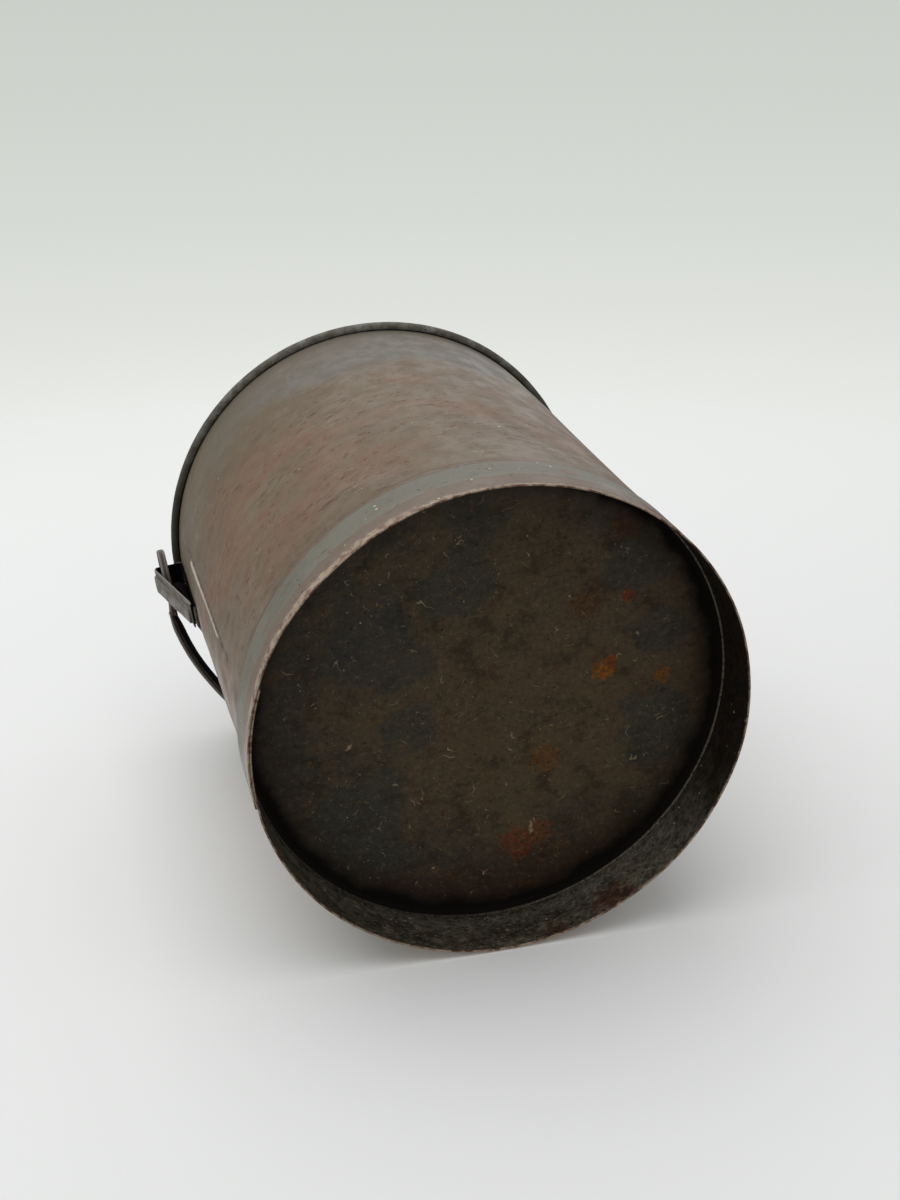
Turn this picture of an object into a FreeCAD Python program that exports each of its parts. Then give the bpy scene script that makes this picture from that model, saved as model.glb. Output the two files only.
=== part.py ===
import FreeCAD, Part
import math
import os
import Sketcher

# A child's sand pail of tinned sheet: a tapered wrap with a wired rim, a pan let into its lower end,
# a foot ring, two folded ears and a folded strip bail. Millimetres, +Z towards the rim, origin at the
# centre of the circle that the foot stands on, +X through the right ear.

SIZES = {
    "sheet": 0.5,                 # thickness of the tinned sheet
    "fit_gap": 0.02,              # gap between pieces that lie against each other
    "pail_height": 149.0,         # foot edge to the top of the rim bead
    "foot_radius": 65.0,          # outside of the foot ring
    "foot_height": 18.5,
    "foot_lap_angle": 28.5,       # how far the foot ring's two ends overlap
    "foot_lap_height": 14.5,
    "wall_low_radius": 64.48,     # outside of the wrap's straight lower end, which holds the pan
    "wall_low_height": 15.7,      # the wrap's lower edge and the pan's lip, above the foot edge
    "flare_height": 27.0,         # where the wrap's lower end starts to draw in
    "waist_radius": 64.0,         # outside of the wrap at its narrowest
    "waist_height": 42.0,
    "wall_rim_radius": 65.06,     # outside of the wrap where the rim starts to roll
    "wire_radius": 0.92,
    "roll_end": 0.4,              # the rolled rim ends this far outside the bead's middle
    "seam_angle": 7.0,            # width of the wrap's lap seam, about the axis
    "seam_low_height": 43.0,
    "seam_end_height": 144.0,
    "solder_bead_angle": 0.6,
    "pan_height": 18.0,           # underside of the pan's floor
    "pan_fillet": 0.9,
    "solder_leg": 1.1,            # size of the solder fillets
    "foot_solder_rise": 2.4,      # how far the foot's solder runs up the wrap
    "hinge_height": 143.0,        # middle of the ears' upper legs
    "ear_width": 7.6,
    "ear_flap_width": 5.0,        # the edge folded back over the ear's outer side
    "ear_reach": 73.9,            # the ear's folded nose, before the flap's thickness
    "ear_wall_radius": 65.1,      # inner face of the ear's upper tab
    "ear_tab_height": 114.0,      # lower end of the upper tab
    "ear_nose_drop": 2.0,         # from the upper leg's middle down to the start of the brace
    "ear_foot_radius": 64.8,      # inner face of the ear's lower tab
    "ear_brace_height": 110.4,    # lower end of the brace
    "ear_foot_height": 107.6,     # lower end of the lower tab
    "ear_bend": 1.2,
    "ear_shift": -0.5,            # how far both ears sit towards +Y of the hinge line
    "arch_radius": 72.0,          # middle of the bail's strip
    "arch_offset": 1.7,           # from the hinge line to the arch's centre
    "arch_angle": 166.0,
    "strip_width": 3.4,
    "strip_depth": 2.0,
    "strip_sheet": 0.45,
    "eye_inner_radius": 6.7,
    "eye_outer_radius": 7.4,
    "eye_low": 69.8,              # the bail's eyes lie between these distances from the axis
    "eye_high": 71.8,
    "neck_high": 72.4,
    "neck_length": 11.2,          # from the hinge line to the end of the neck inside the strip
    "neck_thickness": 0.9,
    "rest_drop": 24.0,            # how far below level the bail hangs at rest, in degrees
}

SEAM_START = -173.5      # direction of the wrap's seam from +X, in degrees
FOOT_LAP_START = 176.5   # direction of the outer end of the foot ring
INNER_LAP_END = FOOT_LAP_START + SIZES["foot_lap_angle"]
SEAM_END = SEAM_START + SIZES["seam_angle"]

AXIS_Z = FreeCAD.Vector(0, 0, 1)
AXIS_X = FreeCAD.Vector(1, 0, 0)

doc = FreeCAD.newDocument("sand_pail")
sheet = doc.addObject("Spreadsheet::Sheet", "Sizes")
for row, (alias, value) in enumerate(SIZES.items(), start=1):
    sheet.set(f"A{row}", alias)
    sheet.set(f"B{row}", str(value))
    sheet.setAlias(f"B{row}", alias)
doc.recompute()

subparts = []


def size(words):
    """An expression on the sheet's cells: every alias in it gets the sheet's name."""
    out = []
    for word in words.split():
        bare = word.strip("()")
        out.append(word.replace(bare, "Sizes." + bare) if bare in SIZES else word)
    return " ".join(out)


def new_body(label):
    body = doc.addObject("PartDesign::Body", label)
    body.Label = label
    subparts.append(body)
    return body


def new_sketch(body, name, role):
    """A sketch on one of the body's own origin planes."""
    sketch = body.newObject("Sketcher::SketchObject", name)
    plane = next(f for f in body.Origin.OriginFeatures if f.Role == role)
    sketch.AttachmentSupport = [(plane, "")]
    sketch.MapMode = "FlatFace"
    return sketch


def pin_coordinate(sketch, kind, geometry, point, expression):
    """Hold one coordinate of a point to an expression, or to the sketch's axis where it is zero."""
    value = float(sketch.evalExpression(size(expression)))
    if abs(value) < 1e-9:
        axis = -2 if kind == "DistanceX" else -1
        sketch.addConstraint(Sketcher.Constraint("PointOnObject", geometry, point, axis))
        return
    index = sketch.addConstraint(Sketcher.Constraint(kind, geometry, point, value))
    sketch.setExpression(f"Constraints[{index}]", size(expression))


def draw_outline(sketch, corners):
    """A closed outline of straight lines, each corner a pair of expressions."""
    points = []
    for across, up in corners:
        x_value = float(sketch.evalExpression(size(across)))
        y_value = float(sketch.evalExpression(size(up)))
        points.append(FreeCAD.Vector(x_value, y_value, 0))
    lines = []
    for start, end in zip(points, points[1:] + points[:1]):
        lines.append(sketch.addGeometry(Part.LineSegment(start, end), False))
    for line, following in zip(lines, lines[1:] + lines[:1]):
        sketch.addConstraint(Sketcher.Constraint("Coincident", line, 2, following, 1))
    for line, (across, up) in zip(lines, corners):
        pin_coordinate(sketch, "DistanceX", line, 1, across)
        pin_coordinate(sketch, "DistanceY", line, 1, up)


def revolve(body, sketch, name, angle="360", symmetric=False):
    """Turn a sketch about its upright axis by an angle given as an expression in degrees."""
    feature = body.newObject("PartDesign::Revolution", name)
    feature.Profile = sketch
    feature.ReferenceAxis = (sketch, ["V_Axis"])
    feature.Midplane = symmetric
    feature.setExpression("Angle", size(angle))
    doc.recompute()
    return feature


def turned_body(label, corners, angle="360", start=0.0):
    """A body turned about the pail's axis from one outline, its first edge at the angle start."""
    body = new_body(label)
    sketch = new_sketch(body, label + "_outline", "XZ_Plane")
    draw_outline(sketch, corners)
    revolve(body, sketch, label + "_turn", angle)
    body.Placement = FreeCAD.Placement(FreeCAD.Vector(), FreeCAD.Rotation(AXIS_Z, start))
    return body


def wall_radius(height):
    """The wrap's outside radius at a height above its waist, both as expressions."""
    slope = "( wall_rim_radius - waist_radius ) / ( pail_height - waist_height )"
    return f"waist_radius + {slope} * ( {height} - waist_height )"


def draw_chain(sketch, corners):
    """Straight lines from corner to corner, all but the last corner held to its expressions."""
    points = []
    for across, up in corners:
        x_value = float(sketch.evalExpression(size(across)))
        y_value = float(sketch.evalExpression(size(up)))
        points.append(FreeCAD.Vector(x_value, y_value, 0))
    lines = []
    for (start, end), (across, up) in zip(zip(points, points[1:]), corners):
        line = sketch.addGeometry(Part.LineSegment(start, end), False)
        pin_coordinate(sketch, "DistanceX", line, 1, across)
        pin_coordinate(sketch, "DistanceY", line, 1, up)
        if lines:
            sketch.addConstraint(Sketcher.Constraint("Coincident", lines[-1], 2, line, 1))
        lines.append(line)
    return lines


def draw_arc(sketch, centre, radius, end_across):
    """An arc of the rolled rim, from its end under the bead round over the top to the wrap's side."""
    value = float(sketch.evalExpression(size(radius)))
    end_angle = -math.acos(end_across / value)
    circle = Part.Circle(centre, AXIS_Z, value)
    arc = sketch.addGeometry(Part.ArcOfCircle(circle, end_angle, math.pi), False)
    index = sketch.addConstraint(Sketcher.Constraint("Radius", arc, value))
    sketch.setExpression(f"Constraints[{index}]", size(radius))
    sketch.addConstraint(Sketcher.Constraint("Horizontal", arc, 3, arc, 2))
    return arc


def make_wrap():
    """The wrap with its rolled rim in one outline, and the outer ply of its upright lap seam."""
    body = new_body("body_sheet")
    sketch = new_sketch(body, "wrap_outline", "XZ_Plane")
    bead_radius = "wall_rim_radius + wire_radius + fit_gap"
    bead_height = "pail_height - wire_radius - fit_gap - sheet"
    roll_end_radius = bead_radius + " + roll_end"
    outside = [
        ("wall_low_radius", "wall_low_height"),
        ("wall_low_radius", "flare_height"),
        ("waist_radius", "waist_height"),
        ("wall_rim_radius", bead_height),
    ]
    inside = [(across + " - sheet", up) for across, up in outside]
    outer_lines = draw_chain(sketch, outside)
    inner_lines = draw_chain(sketch, inside)
    centre = FreeCAD.Vector(float(sketch.evalExpression(size(bead_radius))),
                            float(sketch.evalExpression(size(bead_height))), 0)
    hole_arc = draw_arc(sketch, centre, "wire_radius + fit_gap", SIZES["roll_end"])
    bead_arc = draw_arc(sketch, centre, "wire_radius + fit_gap + sheet", SIZES["roll_end"])
    roll_edge = sketch.addGeometry(
        Part.LineSegment(point_of(sketch, hole_arc), point_of(sketch, bead_arc)), False)
    low_edge = sketch.addGeometry(
        Part.LineSegment(point_of(sketch, inner_lines[0]), point_of(sketch, outer_lines[0])), False)
    joins = [
        (outer_lines[-1], 2, hole_arc, 2), (inner_lines[-1], 2, bead_arc, 2), (hole_arc, 3, bead_arc, 3),
        (hole_arc, 1, roll_edge, 1), (bead_arc, 1, roll_edge, 2),
        (inner_lines[0], 1, low_edge, 1), (outer_lines[0], 1, low_edge, 2),
    ]
    for first, first_point, second, second_point in joins:
        join = Sketcher.Constraint("Coincident", first, first_point, second, second_point)
        sketch.addConstraint(join)
    sketch.addConstraint(Sketcher.Constraint("Vertical", roll_edge))
    pin_coordinate(sketch, "DistanceX", hole_arc, 3, bead_radius)
    pin_coordinate(sketch, "DistanceY", hole_arc, 3, bead_height)
    pin_coordinate(sketch, "DistanceX", roll_edge, 1, roll_end_radius)
    revolve(body, sketch, "wrap_turn")

    seam = new_sketch(body, "seam_outline", "XZ_Plane")
    draw_outline(seam, [
        (wall_radius("seam_low_height") + " - fit_gap", "seam_low_height"),
        (wall_radius("seam_low_height") + " + sheet", "seam_low_height"),
        (wall_radius("seam_end_height") + " + sheet", "seam_end_height"),
        (wall_radius("seam_end_height") + " - fit_gap", "seam_end_height"),
    ])
    revolve(body, seam, "seam_ply", "seam_angle")
    body.Placement = FreeCAD.Placement(FreeCAD.Vector(), FreeCAD.Rotation(AXIS_Z, SEAM_START))


def point_of(sketch, geometry):
    """Where a line or an arc of the sketch starts."""
    return sketch.Geometry[geometry].StartPoint


def make_rim_wire():
    wire = doc.addObject("Part::Torus", "rim_wire")
    wire.Label = "rim_wire"
    wire.setExpression("Radius1", size("wall_rim_radius + wire_radius + fit_gap"))
    wire.setExpression("Radius2", size("wire_radius"))
    wire.setExpression("Placement.Base.z", size("pail_height - wire_radius - fit_gap - sheet"))
    subparts.append(wire)


def round_edges(body, base, name, radius, wanted):
    """A fillet on the base's straight edges that the test picks by the middle of each edge."""
    edges = []
    for number, edge in enumerate(base.Shape.Edges, start=1):
        if wanted(edge):
            edges.append(f"Edge{number}")
    fillet = body.newObject("PartDesign::Fillet", name)
    fillet.Base = (base, edges)
    fillet.setExpression("Radius", size(radius))
    doc.recompute()
    return fillet


def make_pan():
    """The pan let into the wrap's lower end: a flat floor with a flange turned down."""
    low_inside = "wall_low_radius - sheet - fit_gap"
    body = turned_body("bottom_pan", [
        ("0", "pan_height"),
        (low_inside + " - sheet", "pan_height"),
        (low_inside + " - sheet", "wall_low_height"),
        (low_inside, "wall_low_height"),
        (low_inside, "pan_height + sheet"),
        ("0", "pan_height + sheet"),
    ])
    floor_edge = SIZES["pan_height"] + SIZES["sheet"]
    round_edges(body, body.Tip, "pan_bend", "pan_fillet",
                lambda edge: len(edge.Vertexes) == 1 and abs(edge.CenterOfMass.z - floor_edge) < 0.01
                and edge.Length > 100)


FOOT_LAP_CORNERS = [
    ("foot_radius - sheet * 2", "0"),
    ("foot_radius - sheet", "0"),
    ("foot_radius - sheet", "foot_lap_height"),
    ("foot_radius - sheet * 2", "foot_lap_height"),
]


def make_foot():
    """The foot ring with the inner ply of its lap."""
    body = new_body("foot_ring")
    sketch = new_sketch(body, "foot_outline", "XZ_Plane")
    draw_outline(sketch, [
        ("foot_radius - sheet", "0"),
        ("foot_radius", "0"),
        ("foot_radius", "foot_height"),
        ("foot_radius - sheet", "foot_height"),
    ])
    revolve(body, sketch, "foot_turn")
    lap = new_sketch(body, "foot_lap_outline", "XZ_Plane")
    draw_outline(lap, FOOT_LAP_CORNERS)
    revolve(body, lap, "foot_lap", "foot_lap_angle")
    body.Placement = FreeCAD.Placement(FreeCAD.Vector(), FreeCAD.Rotation(AXIS_Z, FOOT_LAP_START))


def make_solder():
    """The solder along the seams: inside the pan's corner, at the foot's top and on both laps."""
    inside = "wall_low_radius - sheet - fit_gap"
    turned_body("bottom_solder", [
        (inside + " - solder_leg", "pan_height + sheet + fit_gap"),
        (inside, "pan_height + sheet + fit_gap"),
        (inside, "pan_height + sheet + solder_leg"),
    ])
    outside = "wall_low_radius + fit_gap"
    turned_body("foot_solder", [
        (outside, "foot_height + fit_gap"),
        ("foot_radius - fit_gap", "foot_height + fit_gap"),
        (outside, "foot_height + foot_solder_rise"),
    ])
    turned_body("body_seam_solder", [
        (wall_radius("seam_low_height") + " + fit_gap", "seam_low_height"),
        (wall_radius("seam_low_height") + " + sheet", "seam_low_height"),
        (wall_radius("seam_end_height") + " + sheet", "seam_end_height"),
        (wall_radius("seam_end_height") + " + fit_gap", "seam_end_height"),
    ], "solder_bead_angle", SEAM_END)
    turned_body("foot_seam_solder", FOOT_LAP_CORNERS, "solder_bead_angle", INNER_LAP_END)


def make_ear(label, turn):
    """A folded strap: a tab on the wrap, a level leg for the bail's eye, a nose and a long brace."""
    body = new_body(label)
    half = "sheet / 2"
    slant = "( ear_reach - ear_foot_radius - sheet ) / ( hinge_height - ear_nose_drop - ear_brace_height )"
    strap = new_sketch(body, label + "_strap_outline", "XZ_Plane")
    draw_outline(strap, [
        ("ear_wall_radius", "ear_tab_height"),
        ("ear_wall_radius", f"hinge_height + {half}"),
        ("ear_reach", f"hinge_height + {half}"),
        ("ear_reach", "hinge_height - ear_nose_drop"),
        ("ear_foot_radius + sheet", "ear_brace_height"),
        ("ear_foot_radius + sheet", "ear_foot_height"),
        ("ear_foot_radius", "ear_foot_height"),
        ("ear_foot_radius", "ear_brace_height"),
        ("ear_reach - sheet", f"hinge_height - ear_nose_drop + sheet * {slant}"),
        ("ear_reach - sheet", f"hinge_height - {half}"),
        ("ear_wall_radius + sheet", f"hinge_height - {half}"),
        ("ear_wall_radius + sheet", "ear_tab_height"),
    ])
    flap = new_sketch(body, label + "_flap_outline", "XZ_Plane")
    draw_outline(flap, [
        ("ear_wall_radius + sheet * 3", f"hinge_height + {half}"),
        ("ear_wall_radius + sheet * 3", f"hinge_height + {half} + sheet"),
        ("ear_reach + sheet", f"hinge_height + {half} + sheet"),
        ("ear_reach + sheet", "hinge_height - ear_nose_drop"),
        ("ear_foot_radius + sheet * 3", "ear_brace_height + sheet * 2"),
        ("ear_foot_radius + sheet * 2", "ear_brace_height + sheet * 2"),
        ("ear_reach", "hinge_height - ear_nose_drop"),
        ("ear_reach", f"hinge_height + {half}"),
    ])
    for sketch, width in ((strap, "ear_width"), (flap, "ear_flap_width")):
        sketch.setExpression("AttachmentOffset.Base.z", size("ear_width / 2"))
        pad = body.newObject("PartDesign::Pad", sketch.Label.replace("outline", "pad"))
        pad.Profile = sketch
        pad.setExpression("Length", size(width))
        pad.Reversed = True
        doc.recompute()
    reach = SIZES["ear_reach"] + SIZES["sheet"]
    round_edges(body, body.Tip, label + "_nose", "ear_bend",
                lambda edge: abs(edge.CenterOfMass.x - reach) < 0.01
                and edge.CenterOfMass.z > SIZES["hinge_height"]
                and abs(edge.tangentAt(edge.FirstParameter).y) > 0.9)
    place = FreeCAD.Vector(0, SIZES["ear_shift"], 0)
    body.Placement = FreeCAD.Placement(place, FreeCAD.Rotation(AXIS_Z, turn))


def make_ear_solder(label, corners, turn):
    """A wedge of solder as wide as the ear, in the corner between the ear and the wrap."""
    body = new_body(label)
    sketch = new_sketch(body, label + "_outline", "XZ_Plane")
    draw_outline(sketch, corners)
    pad = body.newObject("PartDesign::Pad", label + "_pad")
    pad.Profile = sketch
    pad.setExpression("Length", size("ear_width"))
    pad.Midplane = True
    doc.recompute()
    place = FreeCAD.Vector(0, SIZES["ear_shift"], 0)
    body.Placement = FreeCAD.Placement(place, FreeCAD.Rotation(AXIS_Z, turn))


def make_ears():
    above_leg = "hinge_height + sheet / 2 + fit_gap"
    upper = [
        ("ear_wall_radius", above_leg),
        ("ear_wall_radius + solder_leg", above_leg),
        ("ear_wall_radius", "hinge_height + sheet + solder_leg * 2"),
    ]
    lower = [
        ("ear_foot_radius", "ear_foot_height - fit_gap"),
        ("ear_foot_radius + sheet", "ear_foot_height - fit_gap"),
        ("ear_foot_radius", "ear_foot_height - solder_leg * 2"),
    ]
    for side, turn in (("right", 0), ("left", 180)):
        make_ear(f"ear_{side}", turn)
        make_ear_solder(f"ear_{side}_upper_solder", upper, turn)
        make_ear_solder(f"ear_{side}_lower_solder", lower, turn)


def make_bail():
    """The bail: a strip folded to a channel, whose narrow ends roll into eyes about the hinge line.

    It is drawn level, with its arch towards +Y and its eyes about the X axis, and then hung."""
    body = new_body("bail")
    section = new_sketch(body, "strip_outline", "YZ_Plane")
    section.setExpression("AttachmentOffset.Base.x", size("arch_offset"))
    outer = "arch_radius + strip_width / 2"
    inner = "arch_radius - strip_width / 2"
    draw_outline(section, [
        (inner, "strip_depth / -2"),
        (inner, "strip_depth / 2"),
        (outer, "strip_depth / 2"),
        (outer, "strip_depth / -2"),
        (outer + " - strip_sheet", "strip_depth / -2"),
        (outer + " - strip_sheet", "strip_depth / 2 - strip_sheet"),
        (inner + " + strip_sheet", "strip_depth / 2 - strip_sheet"),
        (inner + " + strip_sheet", "strip_depth / -2"),
    ])
    revolve(body, section, "arch", "arch_angle", symmetric=True)
    for name, sign in (("right", ""), ("left", "-1 * ")):
        neck = new_sketch(body, f"neck_{name}_outline", "XY_Plane")
        draw_outline(neck, [
            (sign + "eye_low", "eye_inner_radius + fit_gap"),
            (sign + "neck_high", "eye_outer_radius"),
            (sign + "neck_high", "neck_length"),
            (sign + "eye_low", "neck_length"),
        ])
        pad = body.newObject("PartDesign::Pad", f"neck_{name}")
        pad.Profile = neck
        pad.Midplane = True
        pad.setExpression("Length", size("neck_thickness"))
        doc.recompute()
        eye = new_sketch(body, f"eye_{name}_outline", "YZ_Plane")
        for radius in ("eye_inner_radius", "eye_outer_radius"):
            draw_circle(eye, radius)
        eye.setExpression("AttachmentOffset.Base.z", size(sign + "eye_low"))
        pad = body.newObject("PartDesign::Pad", f"eye_{name}")
        pad.Profile = eye
        pad.Reversed = name == "left"
        pad.setExpression("Length", size("eye_high - eye_low"))
        doc.recompute()
    place = FreeCAD.Vector(0, 0, SIZES["hinge_height"])
    body.Placement = FreeCAD.Placement(place, FreeCAD.Rotation(AXIS_X, -SIZES["rest_drop"]))


def draw_circle(sketch, radius):
    """A circle about the sketch's own origin."""
    value = float(sketch.evalExpression(size(radius)))
    circle = sketch.addGeometry(Part.Circle(FreeCAD.Vector(), AXIS_Z, value), False)
    sketch.addConstraint(Sketcher.Constraint("Coincident", circle, 3, -1, 1))
    index = sketch.addConstraint(Sketcher.Constraint("Radius", circle, value))
    sketch.setExpression(f"Constraints[{index}]", size(radius))


make_wrap()
make_rim_wire()
make_pan()
make_foot()
make_solder()
make_ears()
make_bail()
doc.recompute()

for item in doc.Objects:
    if "Invalid" in item.State or "Error" in item.State:
        raise RuntimeError(f"{item.Label} failed: {item.State}")
os.makedirs("parts", exist_ok=True)
for item in subparts:
    if item.Shape.isNull() or not item.Shape.isValid():
        raise RuntimeError(f"{item.Label} has no valid shape")
    item.Shape.exportStep(f"parts/{item.Label}.step")
    box = item.Shape.BoundBox
    print(f"{item.Label:24s} {len(item.Shape.Solids)} solid, {item.Shape.Volume:10.2f} mm3,"
          f" x {box.XMin:.2f}..{box.XMax:.2f} y {box.YMin:.2f}..{box.YMax:.2f}"
          f" z {box.ZMin:.2f}..{box.ZMax:.2f}")
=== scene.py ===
"""The looks of an old tin sand pail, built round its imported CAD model.

Lengths here are millimetres in the row frame: the origin is the centre of the foot's plane, +Z goes to
the rim and the hinge line of the bail lies along X. They become metres when a mesh is made."""

import math

import bmesh
import bpy
import numpy as np
from mathutils import Matrix, Vector


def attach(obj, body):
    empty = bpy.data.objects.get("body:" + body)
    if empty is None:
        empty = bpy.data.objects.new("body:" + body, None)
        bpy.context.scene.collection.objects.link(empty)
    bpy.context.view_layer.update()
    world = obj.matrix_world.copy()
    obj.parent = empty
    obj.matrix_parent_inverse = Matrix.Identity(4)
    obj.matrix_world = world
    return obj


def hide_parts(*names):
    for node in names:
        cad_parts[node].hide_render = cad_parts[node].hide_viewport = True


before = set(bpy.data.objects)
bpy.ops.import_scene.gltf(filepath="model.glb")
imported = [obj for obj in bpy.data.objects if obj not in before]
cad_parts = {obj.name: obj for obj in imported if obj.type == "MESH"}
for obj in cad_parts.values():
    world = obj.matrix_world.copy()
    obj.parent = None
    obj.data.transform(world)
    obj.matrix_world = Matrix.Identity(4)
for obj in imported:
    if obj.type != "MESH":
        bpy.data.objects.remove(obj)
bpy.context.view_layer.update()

scene = bpy.context.scene

MM = 0.001

# The camera's place, and its axes as unit vectors.
CAMERA_PLACE = Vector((-81.27, -209.46, -349.22)) * MM
CAMERA_RIGHT = Vector((0.95764, 0.12854, -0.25768))
CAMERA_UP = Vector((0.22465, -0.89331, 0.38927))
CAMERA_LENS = 49.92

# The pail lies on its side for the camera: up from the floor it lies on, and where it touches that floor.
LYING_UP = Vector((0.1374, -0.9904, 0.0160)).normalized()
LYING_CONTACT = Vector((-9.0, 64.7, 0.0)) * MM
MIDDLE = Vector((0.0, 0.0, 75.0)) * MM
UPRIGHT_FLOOR_HEIGHT = -0.4
FLOOR_BRIGHTNESS = 0.78

SHEET = 0.5
FOOT_RADIUS = 65.0
FOOT_HEIGHT = 18.5
FOOT_LAP_START = 176.5
FOOT_LAP_SPAN = 28.5
FOOT_LAP_HEIGHT = 14.5
WALL_LOW = (64.48, 17.4)
WALL_FLARE = (64.48, 27.0)
WALL_WAIST = (64.0, 42.0)
WALL_RIM_RADIUS = 65.06
WALL_TOP = 148.0
BEAD_CENTRE = (66.0, 147.56)
BEAD_HOLE = 0.94
BEAD_END = math.radians(-112)
SEAM_END = -166.5
SEAM_STEP = 0.45
PAN_UNDER = 18.0
PAN_OUTSIDE = 63.96
PAN_LOW = 15.7
HINGE_HEIGHT = 143.0
EAR_WIDTH = 7.6
EAR_FLAP = 5.0
EAR_SHIFT = -0.5
ARCH_RADIUS = 72.0
ARCH_OFFSET = 1.7
ARCH_HALF_ANGLE = 83.0
STRIP_WIDTH = 3.4
STRIP_DEPTH = 2.0
EYE_RADIUS = 7.05
EYE_MIDDLE = 70.8
NECK_LENGTH = 11.2
REST_DROP = math.radians(24)


def smooth(value, low, high):
    """0 below low, 1 above high and an easy curve between; low may be the larger of the two."""
    share = np.clip((value - low) / (high - low), 0, 1)
    return share * share * (3 - 2 * share)


def waver(seed, most_turns, spacing):
    """A smooth uneven function of an angle in radians and a height, from about -1 to 1."""
    chance = np.random.default_rng(seed)
    terms = []
    for _ in range(10):
        turns = int(chance.integers(1, most_turns + 1))
        pitch = chance.uniform(-1, 1) * 2 * math.pi / spacing
        terms.append((turns, pitch, chance.uniform(0, 2 * math.pi)))

    def value(angle, height):
        total = 0
        for turns, pitch, phase in terms:
            total = total + np.cos(turns * angle + pitch * height + phase)
        return total / 5

    return value


def arc(centre, radius, start, end, count):
    """Points on an arc in a plane, from one angle in radians to another."""
    turn = np.linspace(start, end, count)
    return np.stack([centre[0] + radius * np.cos(turn), centre[1] + radius * np.sin(turn)], 1)


def even(points, spacing):
    """The same line through the points, with more points on its long runs."""
    points = np.asarray(points, float)
    made = [points[:1]]
    for start, end in zip(points, points[1:]):
        count = max(1, round(float(np.linalg.norm(end - start)) / spacing))
        share = np.linspace(0, 1, count + 1)[1:, None]
        made.append(start + (end - start) * share)
    return np.concatenate(made)


def rounded(corners, radii, count=9):
    """A line through the corners in a plane, with each inner corner rounded to its radius."""
    corners = [np.asarray(corner, float) for corner in corners]
    made = [corners[0][None]]
    for before, corner, after, radius in zip(corners, corners[1:], corners[2:], radii):
        back = (before - corner) / np.linalg.norm(before - corner)
        on = (after - corner) / np.linalg.norm(after - corner)
        half = math.acos(np.clip(back @ on, -1, 1)) / 2
        middle = corner + (back + on) / np.linalg.norm(back + on) * radius / math.sin(half)
        start = corner + back * radius / math.tan(half) - middle
        end = corner + on * radius / math.tan(half) - middle
        turn = math.pi - 2 * half
        for share in np.linspace(0, 1, count):
            point = (math.sin((1 - share) * turn) * start + math.sin(share * turn) * end) / math.sin(turn)
            made.append((middle + point)[None])
    made.append(corners[-1][None])
    return np.concatenate(made)


def grid_faces(rows, columns, close_rows, close_columns):
    """The quads of a grid whose points are numbered row by row."""
    row = np.arange(rows if close_rows else rows - 1)[:, None]
    column = np.arange(columns if close_columns else columns - 1)[None, :]
    next_row = (row + 1) % rows
    next_column = (column + 1) % columns
    corners = np.broadcast_arrays(
        row * columns + column, row * columns + next_column,
        next_row * columns + next_column, next_row * columns + column)
    return np.stack(corners, -1).reshape(-1, 4).tolist()


def turned(outline, angles, shift, closed=True):
    """A closed outline of (radius, height) turned about Z: its points in rows by angle, and its faces."""
    outline = np.asarray(outline, float)
    angle = np.asarray(angles, float)[:, None]
    radius, height = shift(angle, outline[None, :, 0], outline[None, :, 1])
    radius, height, angle = np.broadcast_arrays(radius, height, angle)
    points = np.stack([radius * np.cos(angle), radius * np.sin(angle), height], -1)
    faces = grid_faces(len(angles), len(outline), closed, True)
    if not closed:
        last = (len(angles) - 1) * len(outline)
        faces.append(list(range(len(outline))))
        faces.append([last + index for index in range(len(outline))])
    return points.reshape(-1, 3), faces


def lofted(rings):
    """A solid through rings of points, with its two ends closed."""
    rings = np.asarray(rings, float)
    count, size = rings.shape[:2]
    faces = grid_faces(count, size, False, True)
    faces.append(list(range(size)))
    faces.append([(count - 1) * size + index for index in range(size)])
    return rings.reshape(-1, 3), faces


def strip(path, widths, under, over):
    """A thin solid along a path of (outward, height) points, its two faces at heights off the path."""
    path = np.asarray(path, float)
    along = np.gradient(path, axis=0)
    along /= np.linalg.norm(along, axis=1)[:, None]
    normal = np.stack([-along[:, 1], along[:, 0]], 1)
    travel = np.concatenate([[0], np.cumsum(np.linalg.norm(np.diff(path, axis=0), axis=1))])
    travel_grid, width_grid = np.meshgrid(travel, widths, indexing="ij")
    sides = []
    for surface in (under, over):
        lift = surface(travel_grid, width_grid)
        outward = path[:, None, 0] + normal[:, None, 0] * lift
        height = path[:, None, 1] + normal[:, None, 1] * lift
        sides.append(np.stack([outward, width_grid, height], -1))
    rings = np.concatenate([sides[0], sides[1][:, ::-1]], 1)
    return lofted(rings)


def bead(path, across, up, lumps):
    """A lumpy run of solder along a path: across and up are its half sizes, in their own directions."""
    path = np.asarray(path, float)
    count = len(path)
    share = np.linspace(0, 1, count)
    taper = np.sqrt(np.clip(1 - (2 * share - 1) ** 6, 0.04, 1))
    swell = taper * (1 + 0.22 * lumps(share * 6.0, share * 9.0))
    turn = np.linspace(0, 2 * math.pi, 17)[:-1]
    rings = []
    for place, size in zip(path, swell):
        rings.append(place + size * (np.cos(turn)[:, None] * across + np.sin(turn)[:, None] * up))
    return lofted(rings)


def material_numbers(faces, marked):
    """Material 1 for the faces whose corners are all marked points, and 0 for the others."""
    return [int(all(marked[corner] for corner in face)) for face in faces]


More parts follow.
